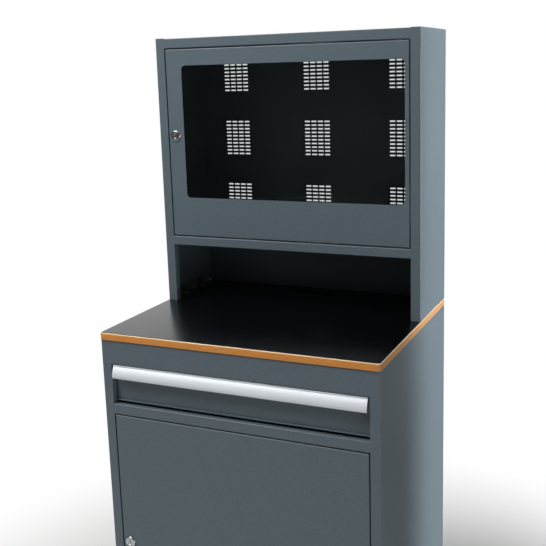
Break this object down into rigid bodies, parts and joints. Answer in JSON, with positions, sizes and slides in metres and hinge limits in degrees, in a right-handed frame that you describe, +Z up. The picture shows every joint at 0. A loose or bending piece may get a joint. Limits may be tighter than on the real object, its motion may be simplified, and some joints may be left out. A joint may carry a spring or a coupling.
{
  "type": "computer cabinet",
  "caption": "Standing-height steel computer cabinet: locked base with drawer and door, wooden worktop, and an upper monitor housing with a glazed door above a keyboard niche.",
  "frame": {"origin": "middle of the bounding box on the floor plane, under the cabinet", "axes": "+Z up, the front with the doors and the drawer looks towards -Y, +X to the right of someone facing it"},
  "size_m": [0.717, 0.5764, 1.726],
  "materials": {
    "powder_coat": "satin blue-grey powder coat",
    "zinc_plate": "zinc plated",
    "lock_chrome": "polished chrome",
    "black_plastic": "fine grain",
    "plywood": "sealed plywood edge",
    "black_film": "satin phenolic film",
    "anodised_aluminium": "silver anodised",
    "clear_glass": "clear safety glass",
    "seal_rubber": "matt"
  },
  "bodies": {
    "carcass": {"base_left_side": "powder_coat", "base_right_side": "powder_coat", "base_floor": "powder_coat", "feet": "black_plastic", "base_fascia": "powder_coat", "base_mid_rail": "powder_coat", "base_rear_rail": "powder_coat", "base_back": "powder_coat", "base_shelf": "powder_coat", "shelf_clips": "zinc_plate", "housing_brackets": "zinc_plate", "worktop_board": "plywood", "worktop_film": "black_film", "upper_left_side": "powder_coat", "upper_right_side": "powder_coat", "upper_roof": "powder_coat", "upper_back": "powder_coat", "monitor_shelf": "powder_coat", "worktop_outlet": "black_plastic", "shelf_outlet": "black_plastic", "back_outlet": "black_plastic", "lower_hinge_pins": "zinc_plate", "window_hinge_pins": "zinc_plate", "door_stops": "powder_coat", "runner_mount_left": "powder_coat", "runner_mount_right": "powder_coat", "runner_outer_left": "zinc_plate", "runner_outer_right": "zinc_plate"},
    "runner_middles": {"runner_middle_left": "zinc_plate", "runner_middle_right": "zinc_plate"},
    "drawer": {"runner_inner_left": "zinc_plate", "runner_inner_right": "zinc_plate", "drawer_tray": "powder_coat", "drawer_rear_wall": "powder_coat", "drawer_front": "powder_coat", "drawer_handle": "anodised_aluminium"},
    "window_door": {"window_door_frame": "powder_coat", "window_gasket": "seal_rubber", "window_pane": "clear_glass", "pane_clips": "zinc_plate", "pane_edge_strip": "zinc_plate", "window_lock_rosette": "lock_chrome"},
    "window_lock": {"window_lock_plug": "lock_chrome", "window_lock_cam": "zinc_plate"},
    "lower_door": {"lower_door_panel": "powder_coat", "lower_door_stiffener": "powder_coat", "lower_lock_rosette": "lock_chrome"},
    "lower_lock": {"lower_lock_plug": "lock_chrome", "lower_lock_cam": "zinc_plate"}
  },
  "joints": [
    {"name": "drawer_slide", "type": "slide", "parent": "carcass", "child": "drawer", "axis": [0, -1, 0], "range_m": [0, 0.4]},
    {"name": "runner_slide", "type": "slide", "parent": "carcass", "child": "runner_middles", "axis": [0, -1, 0], "range_m": [0, 0.2]},
    {"name": "window_door_hinge", "type": "hinge", "parent": "carcass", "child": "window_door", "pos_m": [0.3155, 0.05175, 1.45], "axis": [0, 0, 1], "range_deg": [0, 110]},
    {"name": "window_lock_turn", "type": "hinge", "parent": "window_door", "child": "window_lock", "pos_m": [-0.3095, 0.04425, 1.47223], "axis": [0, 1, 0], "range_deg": [0, 90]},
    {"name": "lower_door_hinge", "type": "hinge", "parent": "carcass", "child": "lower_door", "pos_m": [0.3155, -0.27375, 0.4355], "axis": [0, 0, 1], "range_deg": [0, 110]},
    {"name": "lower_lock_turn", "type": "hinge", "parent": "lower_door", "child": "lower_lock", "pos_m": [-0.3095, -0.28125, 0.46903], "axis": [0, 1, 0], "range_deg": [0, 90]}
  ],
  "couplings": [
    {"joint": "runner_slide", "follows": "drawer_slide", "ratio": 0.5}
  ]
}
